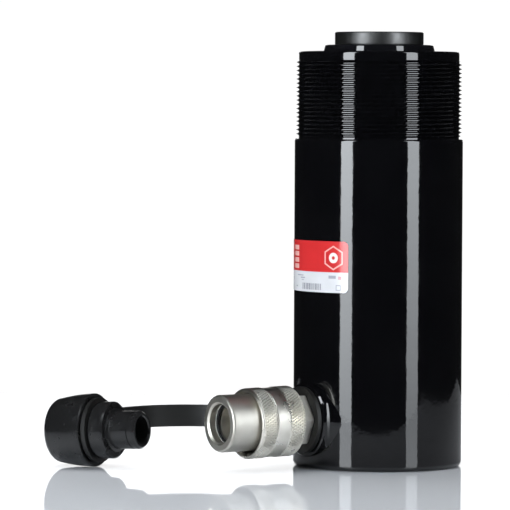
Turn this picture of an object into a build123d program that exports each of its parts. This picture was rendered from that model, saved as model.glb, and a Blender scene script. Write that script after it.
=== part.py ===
from build123d import *

import os
from math import cos, pi, radians, sin, sqrt

# Single-acting, spring-return hydraulic cylinder with a collar thread, a grooved saddle and a
# screw-collar quick coupler whose dust cap lies beside it on a moulded strap. The plunger rises
# 102 mm and the sleeve slides 12 mm towards the coupler's mouth.
# Millimetres. +Z runs up along the plunger and the origin is the centre of the base. The coupler
# points along -X, and the strap and the dust cap lie on the +Y side.

# ---- driving dimensions ----------------------------------------------------------------------
BODY_R = 42.5            # outside of the cylinder
BODY_TOP = 208.4
BASE_EDGE_R = 1.9        # rounding of the bottom edge, across and up
BASE_EDGE_H = 2.6
TOP_EDGE_R = 1.2         # rounding of the top edge and of the shoulder
BASE_THICK = 18.0        # solid metal under the bore
BORE_R = 32.5

SHOULDER_Z = 163.4       # where the full diameter ends and the collar thread begins
THREAD_R = 41.7          # crest of the collar thread
THREAD_ROOT_R = 40.5     # also the plain land above the thread
THREAD_PITCH = 25.4 / 12
THREAD_TOP_Z = 203.9
THREAD_RUN_OUT = 0.8

STOP_RING_R = 36.0       # stop ring screwed into the top of the bore
STOP_RING_BOTTOM = 184.3
LIP_BASE_R = 28.1        # raised lip of the stop ring
LIP_TOP_R = 27.3
LIP_TOP_Z = 211.7
SPANNER_HOLE_R = 2.2
SPANNER_HOLE_DEPTH = 5.0
WIPER_R = 25.2
WIPER_BOTTOM = 206.6

PLUNGER_R = 22.3
PLUNGER_BORE_R = 14.0
PLUNGER_BORE_TOP = 190.0
PISTON_R = 32.4
PISTON_FOOT_R = 27.0     # reduced foot that leaves room for oil at the port
PISTON_FOOT_TOP = 31.0
PISTON_TOP = 82.0
SADDLE_R = 22.33
SADDLE_TOP = 218.2
SADDLE_STEM_R = 10.0
SADDLE_STEM_BOTTOM = 199.0
SADDLE_GROOVE_PITCH = 5.0

SPRING_MEAN_R = 11.0
SPRING_WIRE_R = 1.9
SPRING_BOTTOM = 28.0
SPRING_TOP = 184.0
SPRING_TURNS = 26
ANCHOR_R = 8.6
ANCHOR_STUD_R = 5.0

MOUNT_HOLE_R = 3.97      # tapping drill for 3/8-16
MOUNT_HOLE_DEPTH = 13.0
MOUNT_HOLE_SPACING = 58.7
MOUNT_HOLE_CHAMFER = 0.4

PORT_Z = 24.5            # height of the coupler's axis
PORT_R = 8.4
PORT_FLOOR = 36.0        # distances from the cylinder's axis, along the coupler
BOSS_FACE = 44.4
BOSS_R = 18.5
BOSS_FLARE_R = 8.4
BOSS_FLARE_TURN = 57.8
PASSAGE_R = 4.0

NECK_R = 9.0
HEX_FLATS = 24.0
HEX_START = 47.2
HEX_END = 53.8
HEX_TURN = 5.0
BARREL_R = 12.3
BARREL_END = 72.0
NOZZLE_R = 14.2
NOZZLE_END = 94.6
SOCKET_R = 9.75
SOCKET_DEEP_R = 8.9
SEAL_START = 87.6
SEAL_END = 90.6
SEAT_START = 75.0
SEAT_END = 78.0
SEAT_R = 5.0
SPIGOT_R = 9.5
SPIGOT_START = 62.0
GUIDE_START = 58.0
CHAMBER_R = 7.5

SLEEVE_R = 17.55         # knurled collar, shown slid back against the hexagon
SLEEVE_BAND_R = 17.25
SLEEVE_START = 54.0
SLEEVE_END = 79.5
SLEEVE_REAR_BORE_R = 12.6
SLEEVE_BORE_R = 15.0
SLEEVE_MOUTH_R = 16.0
SLEEVE_THREAD_PITCH = 2.0

STRAP_THICK = 2.2
STRAP_HEIGHT = 11.1
STRAP_Z = 22.7           # middle of the strap where it arches
STRAP_RING_R = 16.6
STRAP_TURNS = (30.0, 70.0, 19.3)
STRAP_END_RADIUS = 60.0

CAP_RIM = (-129.25, 60.3, 18.42)
CAP_HEADING = -60.7      # direction of the cap's nose in plan, degrees from +X
CAP_TILT = 2.7           # the tapered grip lets the nose point a little upwards
CAP_RIM_R = 18.35
CAP_GRIP_R = 17.95
CAP_BACK_R = 16.3
CAP_BACK_LENGTH = 22.2
CAP_NECK_R = 11.5
CAP_NECK_END = 3.2
CAP_STEP_R = 14.25
CAP_STEP_END = 11.2
CAP_NOSE_R = 9.5
CAP_NOSE_END = 26.8
CAP_HOLLOW_R = 6.7

LABEL_THICK = 0.12
LABEL_BOTTOM = 88.5
LABEL_TOP = 114.0
LABEL_END = 215.2        # degrees from +X, counted anticlockwise from above
LABEL_SWEEP = 118.0
LABEL_CORNER = 2.5

FIT = 0.02               # gap between pieces that are screwed or pressed together
RUN = 0.05               # gap between pieces that slide

# Local frame of the coupler: Z is the distance from the cylinder's axis.
COUPLER = Plane(origin=(0, 0, PORT_Z), x_dir=(0, 1, 0), z_dir=(-1, 0, 0))
# Local frame of the dust cap: Z runs from its rim towards its nose.
CAP_PLAN = (cos(radians(CAP_HEADING)), sin(radians(CAP_HEADING)))
RISE, LEVEL = sin(radians(CAP_TILT)), cos(radians(CAP_TILT))
CAP = Plane(
    origin=CAP_RIM,
    x_dir=(-CAP_PLAN[0] * RISE, -CAP_PLAN[1] * RISE, LEVEL),
    z_dir=(CAP_PLAN[0] * LEVEL, CAP_PLAN[1] * LEVEL, RISE),
)


# ---- helpers ---------------------------------------------------------------------------------
def disc(radius, bottom, top):
    """A cylinder about Z between two heights."""
    upright = (Align.CENTER, Align.CENTER, Align.MIN)
    return Pos(0, 0, bottom) * Cylinder(radius, top - bottom, align=upright)


def ring(outer, inner, bottom, top):
    """A plain ring about Z between two heights."""
    return disc(outer, bottom, top) - disc(inner, bottom, top)


def turned(*points):
    """A solid of revolution about Z from its (radius, height) corners."""
    outline = Polyline([(r, 0, h) for r, h in points], close=True)
    return revolve(make_face(outline), Axis.Z)


def thread_groove(radius, depth, pitch, start, end, inside=False):
    """A V-shaped helical groove with flat crests and roots, cut into a bore if inside is true."""
    flat = 0.12
    half = (pitch - flat) / 2
    over = 0.4          # how far the cutting section stands clear of the crest
    sign = -1 if inside else 1
    path = Helix(pitch=pitch, height=end - start, radius=radius, center=(0, 0, start))
    section = Plane(origin=(radius, 0, start), x_dir=(1, 0, 0), z_dir=(0, -1, 0))
    outline = Polyline(
        (sign * over, -half - 0.3 * over),
        (-sign * depth, -flat),
        (-sign * depth, flat),
        (sign * over, half + 0.3 * over),
        close=True,
    )
    return sweep(section * make_face(outline), path=path, is_frenet=True)


def coil(mean_r, wire_r, bottom, top, turns):
    """A helical spring about Z."""
    path = Helix(pitch=(top - bottom) / turns, height=top - bottom, radius=mean_r, center=(0, 0, bottom))
    section = Plane(origin=path @ 0, x_dir=(1, 0, 0), z_dir=path % 0)
    return sweep(section * Circle(wire_r), path=path, is_frenet=True)


# ---- cylinder --------------------------------------------------------------------------------
def make_barrel():
    """Base and barrel as turned, before boring, with the collar thread."""
    shoulder_top = SHOULDER_Z + TOP_EDGE_R
    near = TOP_EDGE_R * (1 - sqrt(0.5))
    with BuildPart() as barrel:
        with BuildSketch(Plane.XZ):
            with BuildLine():
                foot = (BODY_R - BASE_EDGE_R, 0)
                Line((0, 0), foot)
                knee = (BODY_R - 0.32 * BASE_EDGE_R, 0.3 * BASE_EDGE_H)
                ThreePointArc(foot, knee, (BODY_R, BASE_EDGE_H))
                Line((BODY_R, BASE_EDGE_H), (BODY_R, SHOULDER_Z))
                ThreePointArc(
                    (BODY_R, SHOULDER_Z),
                    (BODY_R - near, shoulder_top - near),
                    (BODY_R - TOP_EDGE_R, shoulder_top),
                )
                Polyline(
                    (BODY_R - TOP_EDGE_R, shoulder_top),
                    (THREAD_ROOT_R, shoulder_top),
                    (THREAD_ROOT_R, shoulder_top + THREAD_RUN_OUT),
                    (THREAD_R, shoulder_top + 2 * THREAD_RUN_OUT),
                    (THREAD_R, THREAD_TOP_Z - THREAD_RUN_OUT),
                    (THREAD_ROOT_R, THREAD_TOP_Z),
                    (THREAD_ROOT_R, BODY_TOP - TOP_EDGE_R),
                )
                ThreePointArc(
                    (THREAD_ROOT_R, BODY_TOP - TOP_EDGE_R),
                    (THREAD_ROOT_R - near, BODY_TOP - near),
                    (THREAD_ROOT_R - TOP_EDGE_R, BODY_TOP),
                )
                Polyline((THREAD_ROOT_R - TOP_EDGE_R, BODY_TOP), (0, BODY_TOP), (0, 0))
            make_face()
        revolve(axis=Axis.Z)
    depth = THREAD_R - THREAD_ROOT_R
    first_groove = shoulder_top + THREAD_RUN_OUT / 2
    return barrel.part - thread_groove(THREAD_R, depth, THREAD_PITCH, first_groove, THREAD_TOP_Z)


def make_boss():
    """Round port boss, flared where it is welded to the barrel."""
    inner = BORE_R - 3
    flare_z = BOSS_FACE - 1.2
    centre_r = BOSS_R + BOSS_FLARE_R
    turn = radians(BOSS_FLARE_TURN)
    middle = (centre_r - BOSS_FLARE_R * cos(turn / 2), flare_z - BOSS_FLARE_R * sin(turn / 2))
    end = (centre_r - BOSS_FLARE_R * cos(turn), flare_z - BOSS_FLARE_R * sin(turn))
    with BuildPart() as boss:
        with BuildSketch(Plane.XZ):
            with BuildLine():
                Polyline(
                    (0, inner),
                    (0, BOSS_FACE),
                    (BOSS_R - 0.7, BOSS_FACE),
                    (BOSS_R, BOSS_FACE - 0.7),
                    (BOSS_R, flare_z),
                )
                ThreePointArc((BOSS_R, flare_z), middle, end)
                Polyline(end, (end[0], inner), (0, inner))
            make_face()
        revolve(axis=Axis.Z)
    return COUPLER * boss.part


def make_cylinder_body():
    """Base, barrel, port boss and collar thread: one turned and welded piece."""
    solid = make_barrel() + make_boss()

    # Bore, counterbore for the stop ring, spring anchor hole and port
    solid -= disc(BORE_R, BASE_THICK, BODY_TOP)
    solid -= disc(STOP_RING_R + FIT, STOP_RING_BOTTOM - FIT, BODY_TOP)
    lead_in = STOP_RING_R - 1
    above = BODY_TOP + 0.02
    solid -= turned((lead_in, BODY_TOP - 1), (lead_in + 1.5, above), (lead_in, above))
    solid -= disc(ANCHOR_STUD_R + FIT, BASE_THICK - 9.5, BASE_THICK)
    solid -= COUPLER * disc(PORT_R + FIT, PORT_FLOOR - FIT, BOSS_FACE + 1)
    solid -= COUPLER * disc(PASSAGE_R, BORE_R - 6, PORT_FLOOR + 1)
    hole = disc(MOUNT_HOLE_R, 0, MOUNT_HOLE_DEPTH)
    hole += turned(
        (0, 0),
        (MOUNT_HOLE_R + MOUNT_HOLE_CHAMFER, 0),
        (MOUNT_HOLE_R, MOUNT_HOLE_CHAMFER),
        (0, MOUNT_HOLE_CHAMFER),
    )
    for side in (-1, 1):
        solid -= Pos(0, side * MOUNT_HOLE_SPACING / 2, 0) * hole
    return solid


def make_stop_ring():
    """Ring that stops the piston at full stroke, with its raised lip and four spanner holes."""
    solid = turned(
        (PLUNGER_R + 0.2, STOP_RING_BOTTOM),
        (STOP_RING_R - 0.8, STOP_RING_BOTTOM),
        (STOP_RING_R, STOP_RING_BOTTOM + 0.8),
        (STOP_RING_R, BODY_TOP - 0.4),
        (STOP_RING_R - 0.4, BODY_TOP),
        (LIP_BASE_R, BODY_TOP),
        (LIP_TOP_R + 0.1, LIP_TOP_Z - 0.7),
        (LIP_TOP_R - 0.1, LIP_TOP_Z - 0.2),
        (LIP_TOP_R - 0.6, LIP_TOP_Z),
        (WIPER_R + FIT, LIP_TOP_Z),
        (WIPER_R + FIT, WIPER_BOTTOM - FIT),
        (PLUNGER_R + 0.2, WIPER_BOTTOM - FIT),
    )
    for k in range(4):
        angle = radians(45 + 90 * k)
        radius = (LIP_BASE_R + STOP_RING_R) / 2
        hole = disc(SPANNER_HOLE_R, BODY_TOP - SPANNER_HOLE_DEPTH, BODY_TOP)
        solid -= Pos(radius * cos(angle), radius * sin(angle), 0) * hole
    return solid


def make_wiper_ring():
    """Rod wiper pressed into the stop ring, with a lip that sweeps the plunger."""
    rod = PLUNGER_R + RUN
    return turned(
        (rod + 0.5, WIPER_BOTTOM),
        (WIPER_R, WIPER_BOTTOM),
        (WIPER_R, LIP_TOP_Z - 0.9),
        (rod + 1.2, LIP_TOP_Z - 0.9),
        (rod + 0.5, LIP_TOP_Z - 0.2),
        (rod, LIP_TOP_Z - 0.2),
        (rod, LIP_TOP_Z - 1.6),
        (rod + 0.5, LIP_TOP_Z - 2.4),
    )


def make_label():
    """Thin self-adhesive label wrapped round the barrel, with rounded corners."""
    inner = BODY_R + 0.01
    with BuildPart() as label:
        with BuildSketch(Plane.XZ):
            with Locations((inner + LABEL_THICK / 2, (LABEL_BOTTOM + LABEL_TOP) / 2)):
                Rectangle(LABEL_THICK, LABEL_TOP - LABEL_BOTTOM)
        revolve(axis=Axis.Z, revolution_arc=LABEL_SWEEP)
        corners = [e for e in label.edges() if e.length < 1.5 * LABEL_THICK]
        fillet(corners, LABEL_CORNER)
    return Rot(0, 0, LABEL_END - LABEL_SWEEP) * label.part


# ---- plunger ---------------------------------------------------------------------------------
U_CUP = (44.0, 52.0, 27.5)       # bottom, top and inner radius of the piston's grooves
BACK_UP = (52.2, 54.6, 27.5)
BEARING = (62.0, 76.0, 30.0)


def make_plunger():
    """Hollow plunger and its piston, with the seal and bearing grooves and the saddle's socket."""
    solid = turned(
        (0, PLUNGER_BORE_TOP),
        (PLUNGER_BORE_R, PLUNGER_BORE_TOP),
        (PLUNGER_BORE_R, BASE_THICK + 1.5),
        (PLUNGER_BORE_R + 1.5, BASE_THICK + RUN),
        (PISTON_FOOT_R, BASE_THICK + RUN),
        (PISTON_FOOT_R, PISTON_FOOT_TOP),
        (PISTON_R - 1.5, PISTON_FOOT_TOP),
        (PISTON_R, PISTON_FOOT_TOP + 3),
        (PISTON_R, PISTON_TOP - 0.8),
        (PISTON_R - 0.8, PISTON_TOP),
        (PLUNGER_R, PISTON_TOP),
        (PLUNGER_R, LIP_TOP_Z - 0.5),
        (PLUNGER_R - 0.5, LIP_TOP_Z),
        (SADDLE_STEM_R + RUN, LIP_TOP_Z),
        (SADDLE_STEM_R + RUN, SADDLE_STEM_BOTTOM - 0.5),
        (0, SADDLE_STEM_BOTTOM - 0.5),
    )
    for bottom, top, inner in (U_CUP, BACK_UP, BEARING):
        solid -= ring(PISTON_R + 1, inner, bottom, top)
    solid -= disc(ANCHOR_STUD_R + FIT, PLUNGER_BORE_TOP - 1, PLUNGER_BORE_TOP + 6)
    return solid


def make_piston_seal():
    """U-shaped pressure seal, its two lips facing the oil below."""
    bottom, top, inner = (U_CUP[0] + RUN, U_CUP[1] - RUN, U_CUP[2] + RUN)
    outer = BORE_R - RUN
    return turned(
        (inner, top),
        (outer, top),
        (outer, bottom + 0.6),
        (outer - 0.6, bottom),
        (outer - 1.4, bottom),
        (outer - 2.0, bottom + 4),
        (inner + 2.0, bottom + 4),
        (inner + 1.4, bottom),
        (inner, bottom),
    )


def make_piston_back_up():
    """Plain ring behind the pressure seal."""
    return ring(BORE_R - RUN, BACK_UP[2] + RUN, BACK_UP[0] + RUN, BACK_UP[1] - RUN)


def make_piston_bearing():
    """Bronze bearing band round the piston, split at one side."""
    band = ring(BORE_R - 0.04, BEARING[2] + RUN, BEARING[0] + RUN, BEARING[1] - RUN)
    return band - Pos(BORE_R, 0, (BEARING[0] + BEARING[1]) / 2) * Rot(45, 0, 0) * Box(8, 0.8, 40)


def make_saddle():
    """Grooved load saddle with the stem that snaps into the plunger."""
    bottom = LIP_TOP_Z + RUN
    solid = turned(
        (0, SADDLE_STEM_BOTTOM),
        (SADDLE_STEM_R - 0.6, SADDLE_STEM_BOTTOM),
        (SADDLE_STEM_R, SADDLE_STEM_BOTTOM + 0.6),
        (SADDLE_STEM_R, bottom),
        (SADDLE_R - 0.4, bottom),
        (SADDLE_R, bottom + 0.4),
        (SADDLE_R, SADDLE_TOP - 0.7),
        (SADDLE_R - 0.2, SADDLE_TOP - 0.2),
        (SADDLE_R - 0.7, SADDLE_TOP),
        (0, SADDLE_TOP),
    )
    groove = SADDLE_STEM_BOTTOM + 4
    solid -= ring(SADDLE_STEM_R + 1, SADDLE_STEM_R - 1.2, groove, groove + 2.4)
    land = disc(5.5, SADDLE_TOP - 2, SADDLE_TOP + 1)
    rim = ring(SADDLE_R + 2, SADDLE_R - 2.2, SADDLE_TOP - 2, SADDLE_TOP + 1)
    bar = Box(60, 1.3, 1.0, align=(Align.CENTER, Align.CENTER, Align.MAX))
    grooves = Part()
    for k in range(-4, 5):
        shift = k * SADDLE_GROOVE_PITCH
        grooves += Pos(0, shift, SADDLE_TOP + 0.2) * bar
        grooves += Pos(shift, 0, SADDLE_TOP + 0.2) * Rot(0, 0, 90) * bar
    return solid - (grooves - land - rim)


def make_saddle_retainer():
    """Rubber ring that snaps the saddle's stem into the plunger."""
    middle = SADDLE_STEM_BOTTOM + 5.2
    whole = Pos(0, 0, middle) * Torus(SADDLE_STEM_R - 1.15, 0.95)
    return whole & ring(SADDLE_STEM_R, SADDLE_STEM_R - 1.15, middle - 1.1, middle + 1.1)


def make_base_anchor():
    """Screw-in anchor that holds the return spring's lower end."""
    return turned(
        (0, BASE_THICK - 9),
        (ANCHOR_STUD_R, BASE_THICK - 9),
        (ANCHOR_STUD_R, BASE_THICK + RUN),
        (ANCHOR_R, BASE_THICK + RUN),
        (ANCHOR_R, BASE_THICK + 6),
        (ANCHOR_R - 0.3, BASE_THICK + 6.3),
        (ANCHOR_R - 0.3, BASE_THICK + 20),
        (ANCHOR_R - 1.3, BASE_THICK + 21),
        (0, BASE_THICK + 21),
    )


def make_plunger_anchor():
    """Screw-in anchor that holds the return spring's upper end."""
    top = PLUNGER_BORE_TOP
    return turned(
        (0, top + 5.5),
        (ANCHOR_STUD_R, top + 5.5),
        (ANCHOR_STUD_R, top - RUN),
        (ANCHOR_R, top - RUN),
        (ANCHOR_R, top - 4),
        (ANCHOR_R - 0.3, top - 4.3),
        (ANCHOR_R - 0.3, top - 18),
        (ANCHOR_R - 1.3, top - 19),
        (0, top - 19),
    )


# ---- coupler ---------------------------------------------------------------------------------
def make_coupler_adapter():
    """Threaded shank, hexagon and barrel of the coupler."""
    solid = disc(PORT_R, PORT_FLOOR, BOSS_FACE) + disc(NECK_R, BOSS_FACE, HEX_START)
    hexagon = extrude(RegularPolygon(HEX_FLATS / 2, 6, major_radius=False), HEX_END - HEX_START)
    corner_r = HEX_FLATS / sqrt(3)
    dome = turned(
        (0, HEX_START),
        (corner_r - 0.7, HEX_START),
        (corner_r + 0.1, HEX_START + 0.5),
        (corner_r + 0.1, HEX_END - 0.9),
        (corner_r - 1.4, HEX_END),
        (0, HEX_END),
    )
    solid += Pos(0, 0, HEX_START) * Rot(0, 0, HEX_TURN) * hexagon & dome
    solid += disc(BARREL_R, HEX_END, BARREL_END - FIT)
    solid -= disc(PASSAGE_R, PORT_FLOOR, GUIDE_START + 1)
    solid -= disc(SPIGOT_R + FIT, GUIDE_START, BARREL_END)
    return COUPLER * solid


def make_coupler_nozzle():
    """Front of the coupler: socket for the hose half, seal groove, valve seat and rear spigot."""
    solid = turned(
        (CHAMBER_R, SPIGOT_START),
        (SPIGOT_R, SPIGOT_START),
        (SPIGOT_R, BARREL_END),
        (NOZZLE_R - 0.3, BARREL_END),
        (NOZZLE_R, BARREL_END + 0.3),
        (NOZZLE_R, NOZZLE_END - 1.1),
        (NOZZLE_R - 0.3, NOZZLE_END - 0.4),
        (NOZZLE_R - 0.9, NOZZLE_END),
        (SOCKET_R + 1.0, NOZZLE_END),
        (SOCKET_R, NOZZLE_END - 0.9),
        (SOCKET_R, SEAL_END),
        (SOCKET_R + 1.9, SEAL_END),
        (SOCKET_R + 1.9, SEAL_START),
        (SOCKET_DEEP_R, SEAL_START),
        (SOCKET_DEEP_R, SEAT_END),
        (SEAT_R + 0.8, SEAT_END),
        (SEAT_R, SEAT_END - 0.8),
        (SEAT_R, SEAT_START + 0.8),
        (SEAT_R + 0.8, SEAT_START),
        (CHAMBER_R, SEAT_START),
    )
    return COUPLER * solid


def make_socket_seal():
    """Ring seal in the socket's groove."""
    middle = (SEAL_START + SEAL_END) / 2
    section = (SOCKET_R + 1.9 + SOCKET_DEEP_R + 0.2) / 2
    wire = (SOCKET_R + 1.9 - SOCKET_DEEP_R - 0.2) / 2 - RUN
    seal = Pos(0, 0, middle) * Torus(section, wire)
    return COUPLER * (seal & ring(SOCKET_R + 2, SOCKET_DEEP_R, SEAL_START + RUN, SEAL_END - 0.8))


def make_socket_back_up():
    """Stiff ring in front of the socket's seal."""
    return COUPLER * ring(SOCKET_R + 1.9 - RUN, SOCKET_R + 0.05, SEAL_END - 0.75, SEAL_END - RUN)


def make_valve_guide():
    """Perforated disc that guides the poppet's stem."""
    solid = disc(SPIGOT_R - RUN, GUIDE_START + RUN, SPIGOT_START - RUN) - disc(2.05, GUIDE_START, SPIGOT_START)
    for k in range(4):
        angle = radians(90 * k)
        solid -= Pos(5.0 * cos(angle), 5.0 * sin(angle), 0) * disc(1.3, GUIDE_START, SPIGOT_START)
    return COUPLER * solid


POPPET_HEAD_START = 72.2
POPPET_SEAL_R = 6.4


def make_poppet():
    """Check-valve poppet: guided stem, head and the nose that the hose half pushes."""
    solid = turned(
        (0, GUIDE_START + 2),
        (1.6, GUIDE_START + 2),
        (2.0, GUIDE_START + 2.4),
        (2.0, POPPET_HEAD_START),
        (6.0, POPPET_HEAD_START),
        (6.0, SEAT_START - 1.2),
        (4.55, SEAT_START - 1.2),
        (4.55, SEAT_END + 1.4),
        (3.9, SEAT_END + 2.0),
        (0, SEAT_END + 2.0),
    )
    return COUPLER * solid


def make_poppet_seal():
    """Rubber face seal on the poppet's head."""
    return COUPLER * ring(POPPET_SEAL_R, 4.6, SEAT_START - 1.15, SEAT_START - RUN)


def make_poppet_spring():
    """Small compression spring that closes the poppet."""
    wire = 0.45
    return COUPLER * coil(3.6, wire, SPIGOT_START + wire, POPPET_HEAD_START - wire - 0.02, 6)


def make_coupler_sleeve():
    """Screw collar with two grip bands and the internal thread that draws the hose half in."""
    solid = turned(
        (SLEEVE_REAR_BORE_R, SLEEVE_START),
        (SLEEVE_R - 0.7, SLEEVE_START),
        (SLEEVE_R - 0.2, SLEEVE_START + 0.5),
        (SLEEVE_R, SLEEVE_START + 1.2),
        (SLEEVE_R, SLEEVE_START + 8.8),
        (SLEEVE_BAND_R, SLEEVE_START + 9.2),
        (SLEEVE_BAND_R, SLEEVE_START + 16.0),
        (SLEEVE_BAND_R - 0.3, SLEEVE_START + 16.3),
        (SLEEVE_R, SLEEVE_START + 16.8),
        (SLEEVE_R, SLEEVE_END - 1.4),
        (SLEEVE_R - 0.3, SLEEVE_END - 0.5),
        (SLEEVE_R - 0.9, SLEEVE_END),
        (SLEEVE_MOUTH_R, SLEEVE_END),
        (SLEEVE_BORE_R, SLEEVE_END - 1.1),
        (SLEEVE_BORE_R, SLEEVE_START + 3.5),
        (SLEEVE_REAR_BORE_R, SLEEVE_START + 3.5),
    )
    first, last = SLEEVE_END - 9, SLEEVE_END + 1
    solid -= thread_groove(SLEEVE_BORE_R, 0.95, SLEEVE_THREAD_PITCH, first, last, inside=True)
    return COUPLER * solid


def make_sleeve_stop_ring():
    """Spring ring carried in the sleeve; it meets the nozzle's shoulder at the end of the travel."""
    start = SLEEVE_START + 3.55
    whole = ring(SLEEVE_BORE_R - RUN, BARREL_R + 0.1, start, start + 1.4)
    return COUPLER * (whole - Pos(0, SLEEVE_BORE_R - 1, start) * Box(3, 4, 6))


# ---- dust cap and strap ----------------------------------------------------------------------
def arc_shift(start, end):
    """Movement along a unit-radius left-hand arc between two headings."""
    return sin(end) - sin(start), cos(start) - cos(end)


def strap_route():
    """Start point, headings and radii of the strap's three arcs, which meet both rings square on."""
    ring_middle = (BOSS_FACE + HEX_START) / 2
    start = (-ring_middle, STRAP_RING_R + 1.4)
    back = (-CAP_PLAN[1], CAP_PLAN[0])
    groove = CAP_NECK_END / 2
    reach = STRAP_RING_R + 0.4
    end = (
        CAP_RIM[0] + CAP_PLAN[0] * groove + back[0] * reach,
        CAP_RIM[1] + CAP_PLAN[1] * groove + back[1] * reach,
    )
    headings = [radians(90)]
    for turn in STRAP_TURNS:
        headings.append(headings[-1] + radians(turn))
    first, second, third = (arc_shift(headings[k], headings[k + 1]) for k in range(3))
    gap = (
        end[0] - start[0] - STRAP_END_RADIUS * third[0],
        end[1] - start[1] - STRAP_END_RADIUS * third[1],
    )
    det = first[0] * second[1] - first[1] * second[0]
    radii = (
        (gap[0] * second[1] - gap[1] * second[0]) / det,
        (first[0] * gap[1] - first[1] * gap[0]) / det,
        STRAP_END_RADIUS,
    )
    return start, headings, radii


def strap_edge(offset):
    """One side of the strap in plan: a straight into each ring, and three arcs between them."""
    (x, y), headings, radii = strap_route()
    tail = 5.5
    x += offset * sin(headings[0])
    y -= offset * cos(headings[0])
    edges = [Line((x, y - tail), (x, y))]
    for radius, heading, following in zip(radii, headings, headings[1:]):
        turn = (following - heading) * 180 / pi
        edges.append(JernArc((x, y), (cos(heading), sin(heading)), radius + offset, turn))
        dx, dy = arc_shift(heading, following)
        x += (radius + offset) * dx
        y += (radius + offset) * dy
    last = (x + tail * cos(headings[-1]), y + tail * sin(headings[-1]))
    edges.append(Line((x, y), last))
    return edges, (edges[0] @ 0, last)


def make_dust_cap_strap():
    """Moulded strap: a ring round the coupler's neck, a standing band, and a ring round the cap."""
    half = STRAP_THICK / 2
    outer, (outer_start, outer_end) = strap_edge(half)
    inner, (inner_start, inner_end) = strap_edge(-half)
    outline = outer + inner + [Line(outer_start, inner_start), Line(outer_end, inner_end)]
    band = Pos(0, 0, STRAP_Z - STRAP_HEIGHT / 2) * extrude(make_face(outline), STRAP_HEIGHT)
    middle = (BOSS_FACE + HEX_START) / 2
    hub = COUPLER * ring(STRAP_RING_R, NECK_R + 0.3, middle - half, middle + half)
    groove = CAP_NECK_END / 2
    eye = CAP * ring(STRAP_RING_R - 0.4, CAP_NECK_R + 0.3, groove - half, groove + half)
    return hub + band + eye


def make_dust_cap():
    """Moulded cap: domed grip, groove for the strap, step and hollow nose."""
    back = -CAP_BACK_LENGTH
    with BuildPart() as cap:
        with BuildSketch(Plane.XZ):
            with BuildLine():
                Line((0, back), (CAP_BACK_R - 4, back))
                bend = (CAP_BACK_R - 1.2, back + 1.2)
                ThreePointArc((CAP_BACK_R - 4, back), bend, (CAP_BACK_R, back + 4))
                swell = (CAP_GRIP_R - 0.6, -12.5)
                ThreePointArc((CAP_BACK_R, back + 4), swell, (CAP_GRIP_R, -7.5))
                Polyline(
                    (CAP_GRIP_R, -7.5),
                    (CAP_RIM_R, -1.6),
                    (CAP_RIM_R, -0.5),
                    (CAP_RIM_R - 0.5, 0),
                    (CAP_NECK_R, 0),
                    (CAP_NECK_R, CAP_NECK_END),
                    (CAP_STEP_R - 0.4, CAP_NECK_END),
                    (CAP_STEP_R, CAP_NECK_END + 0.4),
                    (CAP_STEP_R, CAP_STEP_END - 0.8),
                    (CAP_STEP_R - 0.8, CAP_STEP_END),
                    (CAP_NOSE_R + 1.5, CAP_STEP_END),
                    (CAP_NOSE_R + 1.5, CAP_STEP_END + 1.2),
                    (CAP_NOSE_R, CAP_STEP_END + 1.6),
                    (CAP_NOSE_R, CAP_NOSE_END - 4.4),
                    (CAP_NOSE_R - 0.4, CAP_NOSE_END - 4.2),
                    (CAP_NOSE_R - 0.4, CAP_NOSE_END - 3.6),
                    (CAP_NOSE_R, CAP_NOSE_END - 3.4),
                    (CAP_NOSE_R, CAP_NOSE_END - 1.4),
                    (CAP_NOSE_R - 1.0, CAP_NOSE_END),
                    (CAP_HOLLOW_R + 0.5, CAP_NOSE_END),
                    (CAP_HOLLOW_R, CAP_NOSE_END - 0.6),
                    (CAP_HOLLOW_R, CAP_NECK_END),
                    (0, CAP_NECK_END),
                    (0, back),
                )
            make_face()
        revolve(axis=Axis.Z)
    return CAP * cap.part


# ---- output ----------------------------------------------------------------------------------
def all_nodes():
    return {
        "cylinder_body": make_cylinder_body(),
        "stop_ring": make_stop_ring(),
        "wiper_ring": make_wiper_ring(),
        "label": make_label(),
        "base_spring_anchor": make_base_anchor(),
        "return_spring": coil(SPRING_MEAN_R, SPRING_WIRE_R, SPRING_BOTTOM, SPRING_TOP, SPRING_TURNS),
        "plunger": make_plunger(),
        "piston_seal": make_piston_seal(),
        "piston_back_up_ring": make_piston_back_up(),
        "piston_bearing": make_piston_bearing(),
        "plunger_spring_anchor": make_plunger_anchor(),
        "saddle": make_saddle(),
        "saddle_retainer": make_saddle_retainer(),
        "coupler_adapter": make_coupler_adapter(),
        "coupler_nozzle": make_coupler_nozzle(),
        "socket_seal": make_socket_seal(),
        "socket_back_up_ring": make_socket_back_up(),
        "valve_guide": make_valve_guide(),
        "poppet": make_poppet(),
        "poppet_seal": make_poppet_seal(),
        "poppet_spring": make_poppet_spring(),
        "coupler_sleeve": make_coupler_sleeve(),
        "sleeve_stop_ring": make_sleeve_stop_ring(),
        "dust_cap_strap": make_dust_cap_strap(),
        "dust_cap": make_dust_cap(),
    }


if __name__ == "__main__":
    os.makedirs("parts", exist_ok=True)
    for name, shape in all_nodes().items():
        export_step(shape, f"parts/{name}.step")
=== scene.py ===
"""Looks of the hydraulic cylinder: glossy black paint, nickel-plated coupler, moulded cap.

Everything is in metres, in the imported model's frame: +Z up along the plunger, coupler towards
-X. Sizes written in millimetres are multiplied by MM.
"""

from math import cos, pi, radians, sin

import bpy
from mathutils import Matrix, Vector


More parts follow.
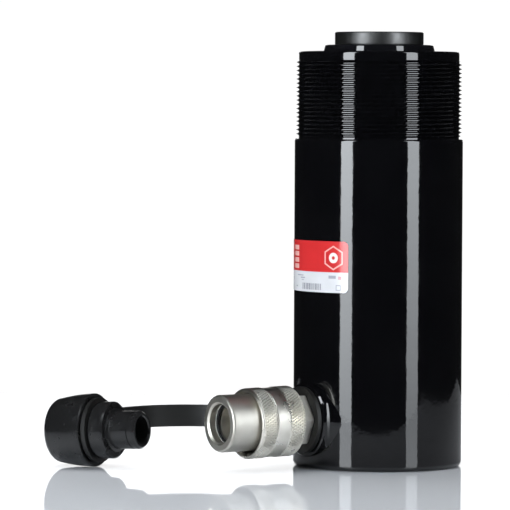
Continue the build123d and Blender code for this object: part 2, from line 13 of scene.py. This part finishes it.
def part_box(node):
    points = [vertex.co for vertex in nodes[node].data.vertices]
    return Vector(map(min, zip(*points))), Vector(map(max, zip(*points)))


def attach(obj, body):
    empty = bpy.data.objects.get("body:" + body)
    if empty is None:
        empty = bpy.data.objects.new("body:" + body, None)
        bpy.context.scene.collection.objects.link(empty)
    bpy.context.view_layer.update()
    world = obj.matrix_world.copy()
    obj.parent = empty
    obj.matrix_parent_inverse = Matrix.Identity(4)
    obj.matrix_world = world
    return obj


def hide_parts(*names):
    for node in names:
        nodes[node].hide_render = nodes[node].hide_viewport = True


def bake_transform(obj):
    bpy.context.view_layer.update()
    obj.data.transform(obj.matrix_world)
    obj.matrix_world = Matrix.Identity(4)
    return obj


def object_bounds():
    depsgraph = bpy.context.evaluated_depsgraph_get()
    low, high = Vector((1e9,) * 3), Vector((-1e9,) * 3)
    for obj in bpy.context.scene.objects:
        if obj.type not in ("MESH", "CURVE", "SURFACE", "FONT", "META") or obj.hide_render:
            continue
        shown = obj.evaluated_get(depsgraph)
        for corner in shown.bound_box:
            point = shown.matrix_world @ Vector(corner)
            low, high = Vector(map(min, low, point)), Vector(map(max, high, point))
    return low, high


MM = 0.001

# ---- camera, placed from the cylinder's foot ----
VIEW_TURN = radians(-32.7)   # the camera looks along +Y, turned by this about Z
CAMERA_BACK = 1.95
CAMERA_SIDE = -0.0621
CAMERA_HEIGHT = 0.18535
CAMERA_TILT = radians(2.34)
CAMERA_ROLL = radians(0.25)
CAMERA_LENS = 273.0
SENSOR_WIDTH = 36

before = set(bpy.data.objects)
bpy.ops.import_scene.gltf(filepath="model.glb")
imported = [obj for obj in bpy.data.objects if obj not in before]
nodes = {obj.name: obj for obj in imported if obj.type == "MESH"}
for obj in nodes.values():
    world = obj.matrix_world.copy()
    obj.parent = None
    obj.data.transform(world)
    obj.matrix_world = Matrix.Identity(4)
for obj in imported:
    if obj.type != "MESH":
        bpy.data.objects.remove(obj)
cad_low, cad_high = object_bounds()


def studio(side, back, up):
    """A point given across, away from and above the cylinder's foot, as the camera sees it."""
    x = side * cos(VIEW_TURN) - back * sin(VIEW_TURN)
    y = side * sin(VIEW_TURN) + back * cos(VIEW_TURN)
    return Vector((x, y, up))


# ---- small node helpers ----------------------------------------------------------------------
class Shader:
    """A node material with one Principled shader and short ways to add to it."""

    def __init__(self, name, **values):
        self.material = bpy.data.materials.new(name)
        self.material.use_nodes = True
        self.nodes = self.material.node_tree.nodes
        self.links = self.material.node_tree.links
        self.bsdf = self.nodes["Principled BSDF"]
        for socket, value in values.items():
            self.set(socket.replace("_", " "), value)

    def set(self, socket, value):
        self.bsdf.inputs[socket].default_value = value

    def node(self, kind, inputs=None, **settings):
        made = self.nodes.new(kind)
        for key, value in settings.items():
            setattr(made, key, value)
        for key, value in (inputs or {}).items():
            if isinstance(value, bpy.types.NodeSocket):
                self.links.new(value, made.inputs[key])
            else:
                made.inputs[key].default_value = value
        return made

    def math(self, operation, *values, clamp=False):
        inputs = dict(enumerate(values))
        return self.node("ShaderNodeMath", inputs, operation=operation, use_clamp=clamp).outputs[0]

    def link(self, output, socket):
        self.links.new(output, self.bsdf.inputs[socket])

    def place(self, scale=(1, 1, 1), turn=(0, 0, 0), move=(0, 0, 0)):
        """Object coordinates, moved, turned and scaled."""
        coordinates = self.node("ShaderNodeTexCoord").outputs["Object"]
        inputs = {"Vector": coordinates, "Location": move, "Rotation": turn, "Scale": scale}
        return self.node("ShaderNodeMapping", inputs).outputs[0]

    def noise(self, scale, detail=3.0, rough=0.5, vector=None):
        vector = vector or self.node("ShaderNodeTexCoord").outputs["Object"]
        inputs = {"Vector": vector, "Scale": scale, "Detail": detail, "Roughness": rough}
        return self.node("ShaderNodeTexNoise", inputs).outputs[0]

    def span(self, value, low, high, to_low, to_high):
        """value, mapped from one range to another and clamped."""
        inputs = {0: value, 1: low, 2: high, 3: to_low, 4: to_high}
        return self.node("ShaderNodeMapRange", inputs).outputs[0]

    def mix(self, factor, a, b):
        """Colour between a and b."""
        inputs = {0: factor, 6: a, 7: b}
        return self.node("ShaderNodeMix", inputs, data_type="RGBA").outputs[2]

    def bump(self, height, distance, strength=1.0, before=None):
        inputs = {"Height": height, "Distance": distance, "Strength": strength}
        if before is not None:
            inputs["Normal"] = before
        return self.node("ShaderNodeBump", inputs).outputs[0]


def grey(value, blue=0.0):
    return (value, value, value * (1 + blue), 1)


# ---- materials -------------------------------------------------------------------------------
def gloss_paint(name, level=0.0016):
    """Thick black enamel: a deep gloss with faint orange peel and a little dust."""
    m = Shader(name, IOR=1.5)
    cloud = m.span(m.noise(35, 4), 0.35, 0.7, 0, 1)
    m.link(m.mix(cloud, grey(level, 0.3), grey(level * 1.6, 0.2)), "Base Color")
    m.link(m.span(m.noise(90, 5), 0.3, 0.75, 0.035, 0.075), "Roughness")
    peel = m.bump(m.noise(260, 2), 0.00002, 1.0)
    m.link(m.bump(m.noise(45, 1), 0.00008, 1.0, peel), "Normal")
    return m.material


def satin_steel(name, level, rough, blue=0.06, lines=2600):
    """Turned steel with fine rings and a slightly uneven tone."""
    m = Shader(name, Metallic=1.0)
    tone = m.span(m.noise(60, 5), 0.3, 0.7, 0, 1)
    m.link(m.mix(tone, grey(level * 0.85, blue), grey(level * 1.15, blue)), "Base Color")
    m.link(m.span(m.noise(220, 4), 0.3, 0.7, rough - 0.05, rough + 0.06), "Roughness")
    rings = m.noise(1, 2, 0.5, m.place((30, 30, lines)))
    m.link(m.bump(rings, 0.00001, 0.5), "Normal")
    return m.material


def nickel(name, rough=0.2, lines=(2400, 40, 40), bump=0.5, level=0.56):
    """Nickel plate: warm grey, turned lines across the coupler's axis, faint stains."""
    m = Shader(name, Metallic=1.0)
    stain = m.span(m.noise(75, 5), 0.42, 0.72, 0, 1)
    clean = (level, level * 0.965, level * 0.88, 1)
    dull = (level * 0.82, level * 0.78, level * 0.68, 1)
    m.link(m.mix(stain, clean, dull), "Base Color")
    m.link(m.span(m.noise(160, 5), 0.3, 0.75, rough - 0.05, rough + 0.09), "Roughness")
    if lines:
        turned = m.noise(1, 2, 0.5, m.place(lines))
        m.link(m.bump(turned, 0.00001, bump), "Normal")
    return m.material


def plain_metal(name, colour, rough):
    """Bronze, spring steel and other inner metal."""
    m = Shader(name, Metallic=1.0)
    dark = tuple(c * 0.75 for c in colour) + (1,)
    tone = m.span(m.noise(120, 4), 0.35, 0.7, 0, 1)
    m.link(m.mix(tone, tuple(colour) + (1,), dark), "Base Color")
    m.link(m.span(m.noise(300, 4), 0.3, 0.7, rough - 0.06, rough + 0.08), "Roughness")
    return m.material


def moulded(name, level, rough, grain, depth, blue=0.04):
    """Injection-moulded black plastic or rubber with a fine skin."""
    m = Shader(name, IOR=1.48)
    tone = m.span(m.noise(50, 4), 0.3, 0.75, 0, 1)
    m.link(m.mix(tone, grey(level, blue), grey(level * 1.5, blue)), "Base Color")
    m.link(m.span(m.noise(180, 4), 0.3, 0.75, rough - 0.06, rough + 0.08), "Roughness")
    m.link(m.bump(m.noise(grain, 3), depth, 1.0), "Normal")
    return m.material


# Label: u runs leftwards from its right end and v upwards from its lower edge, in millimetres.
LABEL_END = radians(215.2 - 180)     # bearing of the right end, from -X
LABEL_SPLIT = 10.1                   # height of the white strip
SYMBOL_AT = (8.2, 17.3)
SYMBOL_OUTLINE = (4.6, 5.3)          # inside and outside of the hexagon, measured to its flats
SYMBOL_DISC = 2.6
SYMBOL_HOLE = 0.9
BLOCKS = 4
BLOCK_ACROSS = (35.3, 42.0)
BLOCK_FOOT = 11.3
BLOCK_PITCH = 3.1
BLOCK_HEIGHT = 2.3
BARS = (15.8, 31.5, 1.1, 4.3)
BARS_PER_METRE = 2400
RULES = (
    (6.7, 11.0, 7.0, 8.5),
    (28.5, 33.0, 6.6, 7.2),
    (30.0, 37.0, 7.8, 8.3),
    (29.5, 32.0, 5.6, 6.0),
    (37.0, 39.0, 2.2, 2.8),
)
RED_TAG = (3.5, 5.4, 6.6, 8.2)
EMPTY_FRAME = ((3.9, 6.7, 1.1, 3.9), (4.3, 6.3, 1.5, 3.5))
PRINT_EDGE = 0.12 * MM               # half the width over which one printed colour gives way
DEEP_RED = (0.52, 0.026, 0.027, 1)
BRIGHT_RED = (0.60, 0.030, 0.031, 1)
TAG_RED = (0.60, 0.33, 0.36, 1)
PALE = (0.78, 0.72, 0.69, 1)
PINK = (0.78, 0.42, 0.38, 1)
RULE_GREY = (0.34, 0.35, 0.40, 1)
BAR_GREY = (0.22, 0.22, 0.25, 1)
FILM_WHITE = ((0.67, 0.675, 0.695, 1), (0.62, 0.625, 0.645, 1))


def printed_label():
    """Red film over a white strip, with a plain nut symbol, grey rules and a row of bars."""
    m = Shader("printed_label", Roughness=0.18, IOR=1.5)
    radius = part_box("cylinder_body")[1].y
    place = m.node("ShaderNodeSeparateXYZ", {0: m.node("ShaderNodeTexCoord").outputs["Object"]})
    x, y, z = place.outputs
    angle = m.math("ARCTAN2", m.math("MULTIPLY", y, -1), m.math("MULTIPLY", x, -1))
    u = m.math("MULTIPLY", m.math("SUBTRACT", LABEL_END, angle), radius)
    v = m.math("SUBTRACT", z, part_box("label")[0].z)

    def inside(value, start, end):
        """1 where value lies between start and end."""
        above = m.span(value, start - PRINT_EDGE, start + PRINT_EDGE, 0, 1)
        below = m.span(value, end - PRINT_EDGE, end + PRINT_EDGE, 1, 0)
        return m.math("MULTIPLY", above, below)

    def box(u0, u1, v0, v1):
        """1 inside a rectangle given in millimetres."""
        return m.math("MULTIPLY", inside(u, u0 * MM, u1 * MM), inside(v, v0 * MM, v1 * MM))

    red = m.mix(m.span(m.noise(60, 3), 0.3, 0.7, 0, 1), BRIGHT_RED, DEEP_RED)
    white = m.mix(m.span(m.noise(90, 3), 0.3, 0.7, 0, 1), *FILM_WHITE)
    split = LABEL_SPLIT * MM
    colour = m.mix(m.span(v, split - 0.15 * MM, split + 0.15 * MM, 0, 1), white, red)

    # Nut symbol: a hexagon's outline round a plain ring
    across = m.math("SUBTRACT", u, SYMBOL_AT[0] * MM)
    up = m.math("SUBTRACT", v, SYMBOL_AT[1] * MM)
    sides = []
    for k in range(3):
        turn = radians(60 * k)
        reach = m.math("MULTIPLY", across, cos(turn))
        reach = m.math("ADD", reach, m.math("MULTIPLY", up, sin(turn)))
        sides.append(m.math("ABSOLUTE", reach))
    hexagon = m.math("MAXIMUM", m.math("MAXIMUM", sides[0], sides[1]), sides[2])
    square = m.math("ADD", m.math("MULTIPLY", across, across), m.math("MULTIPLY", up, up))
    distance = m.math("SQRT", square)
    low, high = SYMBOL_OUTLINE
    colour = m.mix(inside(hexagon, low * MM, high * MM), colour, PINK)
    colour = m.mix(inside(distance, -1, SYMBOL_DISC * MM), colour, PALE)
    colour = m.mix(inside(distance, -1, SYMBOL_HOLE * MM), colour, DEEP_RED)

    # Upright blocks at the far end of the red band
    for k in range(BLOCKS):
        foot = BLOCK_FOOT + BLOCK_PITCH * k
        colour = m.mix(box(*BLOCK_ACROSS, foot, foot + BLOCK_HEIGHT), colour, PINK)

    # Rules, a tag, an empty frame and a row of bars on the white strip
    for rule in RULES:
        colour = m.mix(box(*rule), colour, RULE_GREY)
    colour = m.mix(box(*RED_TAG), colour, TAG_RED)
    colour = m.mix(box(*EMPTY_FRAME[0]), colour, RULE_GREY)
    colour = m.mix(box(*EMPTY_FRAME[1]), colour, white)
    inputs = {"W": m.math("MULTIPLY", u, BARS_PER_METRE), "Scale": 1.0, "Detail": 0.0}
    stripes = m.node("ShaderNodeTexNoise", inputs, noise_dimensions="1D")
    bars = m.math("MULTIPLY", m.span(stripes.outputs[0], 0.47, 0.5, 0, 1), box(*BARS))
    colour = m.mix(bars, colour, BAR_GREY)
    m.link(colour, "Base Color")
    m.link(m.bump(m.noise(300, 2), 0.00001, 0.6), "Normal")
    return m.material


def dress_frame():
    """Gives each CAD node its finish."""
    paint = gloss_paint("black_gloss_paint")
    nickel_hex = nickel("nickel_hexagon", 0.40)
    nickel_turned = nickel("nickel_turned", 0.42, (3000, 30, 30), 0.5, 0.52)
    rubber = moulded("black_rubber", 0.012, 0.6, 900, 0.00002)
    spring = plain_metal("spring_steel", (0.30, 0.30, 0.31), 0.35)
    ptfe = moulded("white_ptfe", 0.6, 0.5, 700, 0.00001, -0.08)
    machined = satin_steel("machined_steel", 0.5, 0.3)
    finish = {
        "cylinder_body": paint,
        "stop_ring": gloss_paint("stop_ring_paint", 0.0040),
        "wiper_ring": rubber,
        "label": printed_label(),
        "base_spring_anchor": machined,
        "return_spring": spring,
        "plunger": satin_steel("ground_steel", 0.46, 0.18, 0.02, 5000),
        "piston_seal": moulded("polyurethane_seal", 0.03, 0.4, 600, 0.00001, 0.5),
        "piston_back_up_ring": ptfe,
        "piston_bearing": plain_metal("bearing_bronze", (0.55, 0.36, 0.17), 0.3),
        "plunger_spring_anchor": machined,
        "saddle": satin_steel("dark_phosphated_steel", 0.10, 0.42, 0.0, 3400),
        "saddle_retainer": rubber,
        "coupler_adapter": nickel_hex,
        "coupler_nozzle": nickel_turned,
        "socket_seal": rubber,
        "socket_back_up_ring": ptfe,
        "valve_guide": machined,
        "poppet": nickel("poppet_nickel", 0.22, (3000, 30, 30), 0.6, 0.6),
        "poppet_seal": rubber,
        "poppet_spring": spring,
        "coupler_sleeve": nickel_turned,
        "sleeve_stop_ring": spring,
        "dust_cap_strap": moulded("black_soft_plastic", 0.006, 0.40, 420, 0.00002, -0.05),
        "dust_cap": moulded("black_moulded_plastic", 0.0065, 0.235, 650, 0.000006, 0.03),
    }
    for name, material in finish.items():
        slots = nodes[name].data.materials
        slots.clear()
        slots.append(material)


# ---- knurled sleeve --------------------------------------------------------------------------
KNURL_STARTS = 72
KNURL_DEPTH = 0.5
KNURL_LEAD = 2.6             # axial length of one diamond
KNURL_STEPS = 8              # mesh steps across one diamond, both ways
REAR_GRIP = 0.7, 9.0         # knurled band next to the hexagon
FRONT_GRIP = 16.9, 1.1       # knurled band at the mouth: its start, and its distance from the mouth
SMOOTH_RECESS = 0.35         # the plain band lies this far below the knurl's crests
MOUTH_BORE_R = 16.1
THREAD_CREST_R = 15.1
THREAD_ROOT_R = 15.8
THREAD_PITCH = 2.0
THREAD_TURNS = 4
INNER_BORE_R = 15.05
REAR_BORE_R = 12.75
REAR_WALL = 3.5
SLEEVE_DROOP = 0.12, 0.5     # how far the loose sleeve hangs at its rear, and further at its mouth


def sleeve_profile(length, radius):
    """Rings (distance, radius, knurl, phase), outside to the mouth and back through the bore."""
    step = KNURL_LEAD / KNURL_STEPS
    rings = []

    def plain(*points):
        rings.extend((distance, ring_radius, 0, 0) for distance, ring_radius in points)

    def grip(start, end):
        count = int((end - start) / step)
        for k in range(count + 1):
            fade = min(1.0, 0.35 + 0.33 * min(k, count - k))
            rings.append((start + k * step, radius, fade, k / KNURL_STEPS))

    band = radius - SMOOTH_RECESS
    plain((0.0, radius - 1.0), (0.15, radius - 0.6), (0.5, radius - 0.35))
    grip(*REAR_GRIP)
    plain((9.25, band), (12.5, band), (15.9, band), (16.3, band - 0.3), (16.7, band))
    grip(FRONT_GRIP[0], length - FRONT_GRIP[1])
    plain((length - 0.7, radius - 0.15), (length - 0.3, radius - 0.4), (length, radius - 0.95))
    plain((length, MOUTH_BORE_R), (length - 0.2, MOUTH_BORE_R - 0.2))
    for k in range(THREAD_TURNS):
        crest = length - 1.4 - THREAD_PITCH * k
        plain((crest, THREAD_CREST_R), (crest - 0.5 * THREAD_PITCH, THREAD_CREST_R))
        plain((crest - 0.6 * THREAD_PITCH, THREAD_ROOT_R))
        plain((crest - 0.9 * THREAD_PITCH, THREAD_ROOT_R))
    plain((length - 9.6, INNER_BORE_R), (REAR_WALL, INNER_BORE_R))
    plain((REAR_WALL, REAR_BORE_R), (0.0, REAR_BORE_R))
    return rings


def wave(value):
    """Triangle wave: 0 in a groove and 1 midway between two."""
    return 1 - abs(2 * (value % 1.0) - 1)


def ring_faces(rings, sides, closed):
    """Quads between rings of vertices, and from the last ring to the first where closed."""
    faces = []
    for i in range(rings if closed else rings - 1):
        near, far = i * sides, (i + 1) % rings * sides
        for k in range(sides):
            n = (k + 1) % sides
            faces.append((near + k, far + k, far + n, near + n))
    return faces


def add_piece(name, vertices, faces, material):
    """A new mesh object in the scene."""
    mesh = bpy.data.meshes.new(name)
    mesh.from_pydata([tuple(v) for v in vertices], [], faces)
    mesh.validate()
    mesh.materials.append(material)
    piece = bpy.data.objects.new(name, mesh)
    bpy.context.scene.collection.objects.link(piece)
    return piece


def knurled_sleeve():
    """The coupler's screw collar with real diamond knurling, hanging a little on the nozzle."""
    low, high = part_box("coupler_sleeve")
    rear, front = -high.x / MM, -low.x / MM
    length = front - rear
    rings = sleeve_profile(length, (high.y - low.y) / 2 / MM)
    axis_z = (low.z + high.z) / 2
    steps = KNURL_STARTS * KNURL_STEPS
    vertices = []
    for distance, radius, knurl, phase in rings:
        droop = SLEEVE_DROOP[0] + SLEEVE_DROOP[1] * distance / length
        for k in range(steps):
            turn = k / KNURL_STEPS
            nearest = min(wave(turn + phase), wave(turn - phase))
            height = radius - KNURL_DEPTH * knurl * (1 - min(1.0, 1.2 * nearest))
            angle = 2 * pi * k / steps
            up = height * sin(angle) - droop
            vertices.append((-(rear + distance) * MM, height * cos(angle) * MM, axis_z + up * MM))
    faces = ring_faces(len(rings), steps, True)
    plate = nickel("nickel_knurled", 0.3, None, 0, 0.72)
    piece = add_piece("knurled_sleeve", vertices, faces, plate)
    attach(piece, "sleeve")
    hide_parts("coupler_sleeve")


# ---- coil springs ----------------------------------------------------------------------------
COIL_STEPS = 24              # mesh steps in one turn
WIRE_SIDES = 8               # mesh sides round the wire
RETURN_TURNS = 26
RETURN_WIRE_R = 1.9
POPPET_TURNS = 6
POPPET_WIRE_R = 0.45


def coil_spring(node, along, turns, wire_radius, material):
    """A fixed helical spring mesh in place of a CAD node, running the length of the node's box."""
    low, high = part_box(node)
    size = high - low
    centre = (low + high) / 2
    reach = along * (abs(size.dot(along)) / 2 - wire_radius)
    side = along.orthogonal().normalized()
    other = along.cross(side)
    width = min(size.dot(Vector(map(abs, side))), size.dot(Vector(map(abs, other))))
    radius = width / 2 - wire_radius
    steps = turns * COIL_STEPS
    vertices = []
    for k in range(steps + 1):
        turn = 2 * pi * k / COIL_STEPS
        outward = side * cos(turn) + other * sin(turn)
        middle = centre + reach * (2 * k / steps - 1) + outward * radius
        for j in range(WIRE_SIDES):
            angle = 2 * pi * j / WIRE_SIDES
            vertices.append(middle + (outward * cos(angle) + along * sin(angle)) * wire_radius)
    faces = ring_faces(steps + 1, WIRE_SIDES, False)
    first = steps * WIRE_SIDES
    faces.append(tuple(range(WIRE_SIDES)))
    faces.append(tuple(reversed(range(first, first + WIRE_SIDES))))
    piece = add_piece(node + "_coil", vertices, faces, material)
    piece.data.shade_smooth()
    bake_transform(piece)
    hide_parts(node)


def make_springs():
    steel = plain_metal("spring_wire", (0.30, 0.30, 0.31), 0.35)
    up, outwards = Vector((0, 0, 1)), Vector((-1, 0, 0))
    coil_spring("return_spring", up, RETURN_TURNS, RETURN_WIRE_R * MM, steel)
    coil_spring("poppet_spring", outwards, POPPET_TURNS, POPPET_WIRE_R * MM, steel)


# ---- studio ----------------------------------------------------------------------------------
TABLE_EDGE = 0.262           # the glossy floor sheet ends this far in front of the cylinder
TABLE_SIDE = 0.45            # this far to either side
TABLE_BACK = 0.45            # and this far behind
FLOOR_REACH = 4.0
FLOOR_GAP = 0.0001           # the sheet lies this far below the base
WHITE = 1.02                 # brightness of the white round the sheet, to the camera
BACKDROP = 1.7               # brightness of the white behind the object, as the object sees it
ROOM = 0.015                 # and of the rest of the room
BACKDROP_EDGE = 0.972, 0.992     # cosines of the angles over which the backdrop fades
STRIP_WIDTH = 0.14
STRIP_DISTANCE = 0.5
STRIP_FOOT = -0.16
STRIP_TOP = 0.6
STRIP_FADE = -0.045, 0.165   # heights between which a strip goes from its foot's to its top's power
STRIP_COLOUR = (0.95, 1, 1.05, 1)


def flat_panel(name, corners, material):
    panel = add_piece(name, corners, [(0, 1, 2, 3)], material)
    return panel


def floor_material(name):
    m = Shader(name, Roughness=0.03, IOR=1.5)
    m.link(m.mix(m.noise(3, 2), (0.61, 0.63, 0.66, 1), (0.63, 0.65, 0.68, 1)), "Base Color")
    return m.material


def cove_material(name):
    """Plain white that is the same from every side, as a lit studio cove."""
    m = Shader(name, Roughness=1.0, Base_Color=(0, 0, 0, 1), Specular_IOR_Level=0.0)
    m.set("Emission Color", (1, 1, 1, 1))
    m.set("Emission Strength", WHITE)
    return m.material


def make_floor():
    """A white acrylic sheet, set in a plain white surround that gives the object no light."""
    level = cad_low.z - FLOOR_GAP

    def sheet(name, left, right, front, back, material):
        corners = ((left, front), (right, front), (right, back), (left, back))
        return flat_panel(name, [studio(x, y, level) for x, y in corners], material)

    acrylic = floor_material("white_acrylic")
    sheet("floor_sheet", -TABLE_SIDE, TABLE_SIDE, -TABLE_EDGE, TABLE_BACK, acrylic)
    white = cove_material("white_surround")
    surround = [
        sheet("floor_front", -FLOOR_REACH, FLOOR_REACH, -FLOOR_REACH, -TABLE_EDGE, white),
        sheet("floor_back", -FLOOR_REACH, FLOOR_REACH, TABLE_BACK, FLOOR_REACH, white),
        sheet("floor_left", -FLOOR_REACH, -TABLE_SIDE, -TABLE_EDGE, TABLE_BACK, white),
        sheet("floor_right", TABLE_SIDE, FLOOR_REACH, -TABLE_EDGE, TABLE_BACK, white),
    ]
    for panel in surround:
        panel.visible_glossy = False
        panel.visible_diffuse = False
        panel.visible_shadow = False


def strip_light(name, bearing, top_power, foot_power):
    """A tall narrow softbox that gives the paint its upright highlights."""
    material = bpy.data.materials.new(name)
    material.use_nodes = True
    tree = material.node_tree
    tree.nodes.clear()
    output = tree.nodes.new("ShaderNodeOutputMaterial")
    glow = tree.nodes.new("ShaderNodeEmission")
    glow.inputs["Color"].default_value = STRIP_COLOUR
    place = tree.nodes.new("ShaderNodeSeparateXYZ")
    where = tree.nodes.new("ShaderNodeTexCoord")
    ramp = tree.nodes.new("ShaderNodeMapRange")
    tree.links.new(where.outputs["Object"], place.inputs[0])
    tree.links.new(place.outputs[2], ramp.inputs[0])
    for index, value in enumerate((*STRIP_FADE, foot_power, top_power), 1):
        ramp.inputs[index].default_value = value
    tree.links.new(ramp.outputs[0], glow.inputs["Strength"])
    tree.links.new(glow.outputs[0], output.inputs[0])
    side, back = STRIP_DISTANCE * sin(bearing), -STRIP_DISTANCE * cos(bearing)
    half_side, half_back = cos(bearing) * STRIP_WIDTH / 2, sin(bearing) * STRIP_WIDTH / 2
    corners = [
        studio(side - half_side, back - half_back, STRIP_FOOT),
        studio(side + half_side, back + half_back, STRIP_FOOT),
        studio(side + half_side, back + half_back, STRIP_TOP),
        studio(side - half_side, back - half_back, STRIP_TOP),
    ]
    flat_panel(name, corners, material).visible_camera = False


def soft_light(name, place, target, size, power):
    """A broad light from above that lifts the diffuse tones and isn't mirrored."""
    data = bpy.data.lights.new(name, "AREA")
    data.shape = "RECTANGLE"
    data.size, data.size_y = size
    data.energy = power
    lamp = bpy.data.objects.new(name, data)
    lamp.location = place
    lamp.rotation_euler = (target - place).to_track_quat("-Z", "Y").to_euler()
    bpy.context.scene.collection.objects.link(lamp)
    lamp.visible_glossy = False


def make_world():
    """White to the camera; to the object, a white backdrop behind it and a dim room in front."""
    world = bpy.data.worlds.new("studio")
    bpy.context.scene.world = world
    world.use_nodes = True
    tree = world.node_tree
    tree.nodes.clear()

    def add(kind, **settings):
        made = tree.nodes.new(kind)
        for key, value in settings.items():
            setattr(made, key, value)
        return made

    output = add("ShaderNodeOutputWorld")
    pick = add("ShaderNodeMixShader")
    path = add("ShaderNodeLightPath")
    seen = add("ShaderNodeBackground")
    seen.inputs[0].default_value = (1, 1, 1, 1)
    seen.inputs[1].default_value = WHITE
    room = add("ShaderNodeBackground")
    heading = add("ShaderNodeVectorMath", operation="DOT_PRODUCT")
    heading.inputs[1].default_value = studio(0, 1, 0)
    direction = add("ShaderNodeTexCoord")
    ramp = add("ShaderNodeMapRange")
    for index, value in enumerate((*BACKDROP_EDGE, ROOM, BACKDROP), 1):
        ramp.inputs[index].default_value = value
    tree.links.new(direction.outputs["Generated"], heading.inputs[0])
    tree.links.new(heading.outputs["Value"], ramp.inputs[0])
    tree.links.new(ramp.outputs[0], room.inputs[1])
    tree.links.new(path.outputs["Is Camera Ray"], pick.inputs[0])
    tree.links.new(room.outputs[0], pick.inputs[1])
    tree.links.new(seen.outputs[0], pick.inputs[2])
    tree.links.new(pick.outputs[0], output.inputs[0])


def make_studio():
    make_world()
    make_floor()
    strip_light("strip_left", radians(-43.7), top_power=12.7, foot_power=5.6)
    strip_light("strip_right", radians(44.4), top_power=9.0, foot_power=2.9)
    above = studio(0.0, 0.25, 1.6)
    soft_light("top_softbox", above, target=studio(0, 0, 0.05), size=(1.6, 1.2), power=34)


def make_camera():
    data = bpy.data.cameras.new("camera")
    data.lens = CAMERA_LENS
    data.sensor_width = SENSOR_WIDTH
    data.clip_start = 0.05
    camera = bpy.data.objects.new("camera", data)
    bpy.context.scene.collection.objects.link(camera)
    turn = Matrix.Rotation(VIEW_TURN, 4, "Z") @ Matrix.Rotation(pi / 2 - CAMERA_TILT, 4, "X")
    turn = turn @ Matrix.Rotation(CAMERA_ROLL, 4, "Z")
    place = Matrix.Translation(studio(CAMERA_SIDE, -CAMERA_BACK, CAMERA_HEIGHT))
    camera.matrix_world = place @ turn
    bpy.context.scene.camera = camera


make_camera()
make_studio()
dress_frame()
knurled_sleeve()
make_springs()
bpy.context.scene.view_settings.view_transform = "Standard"
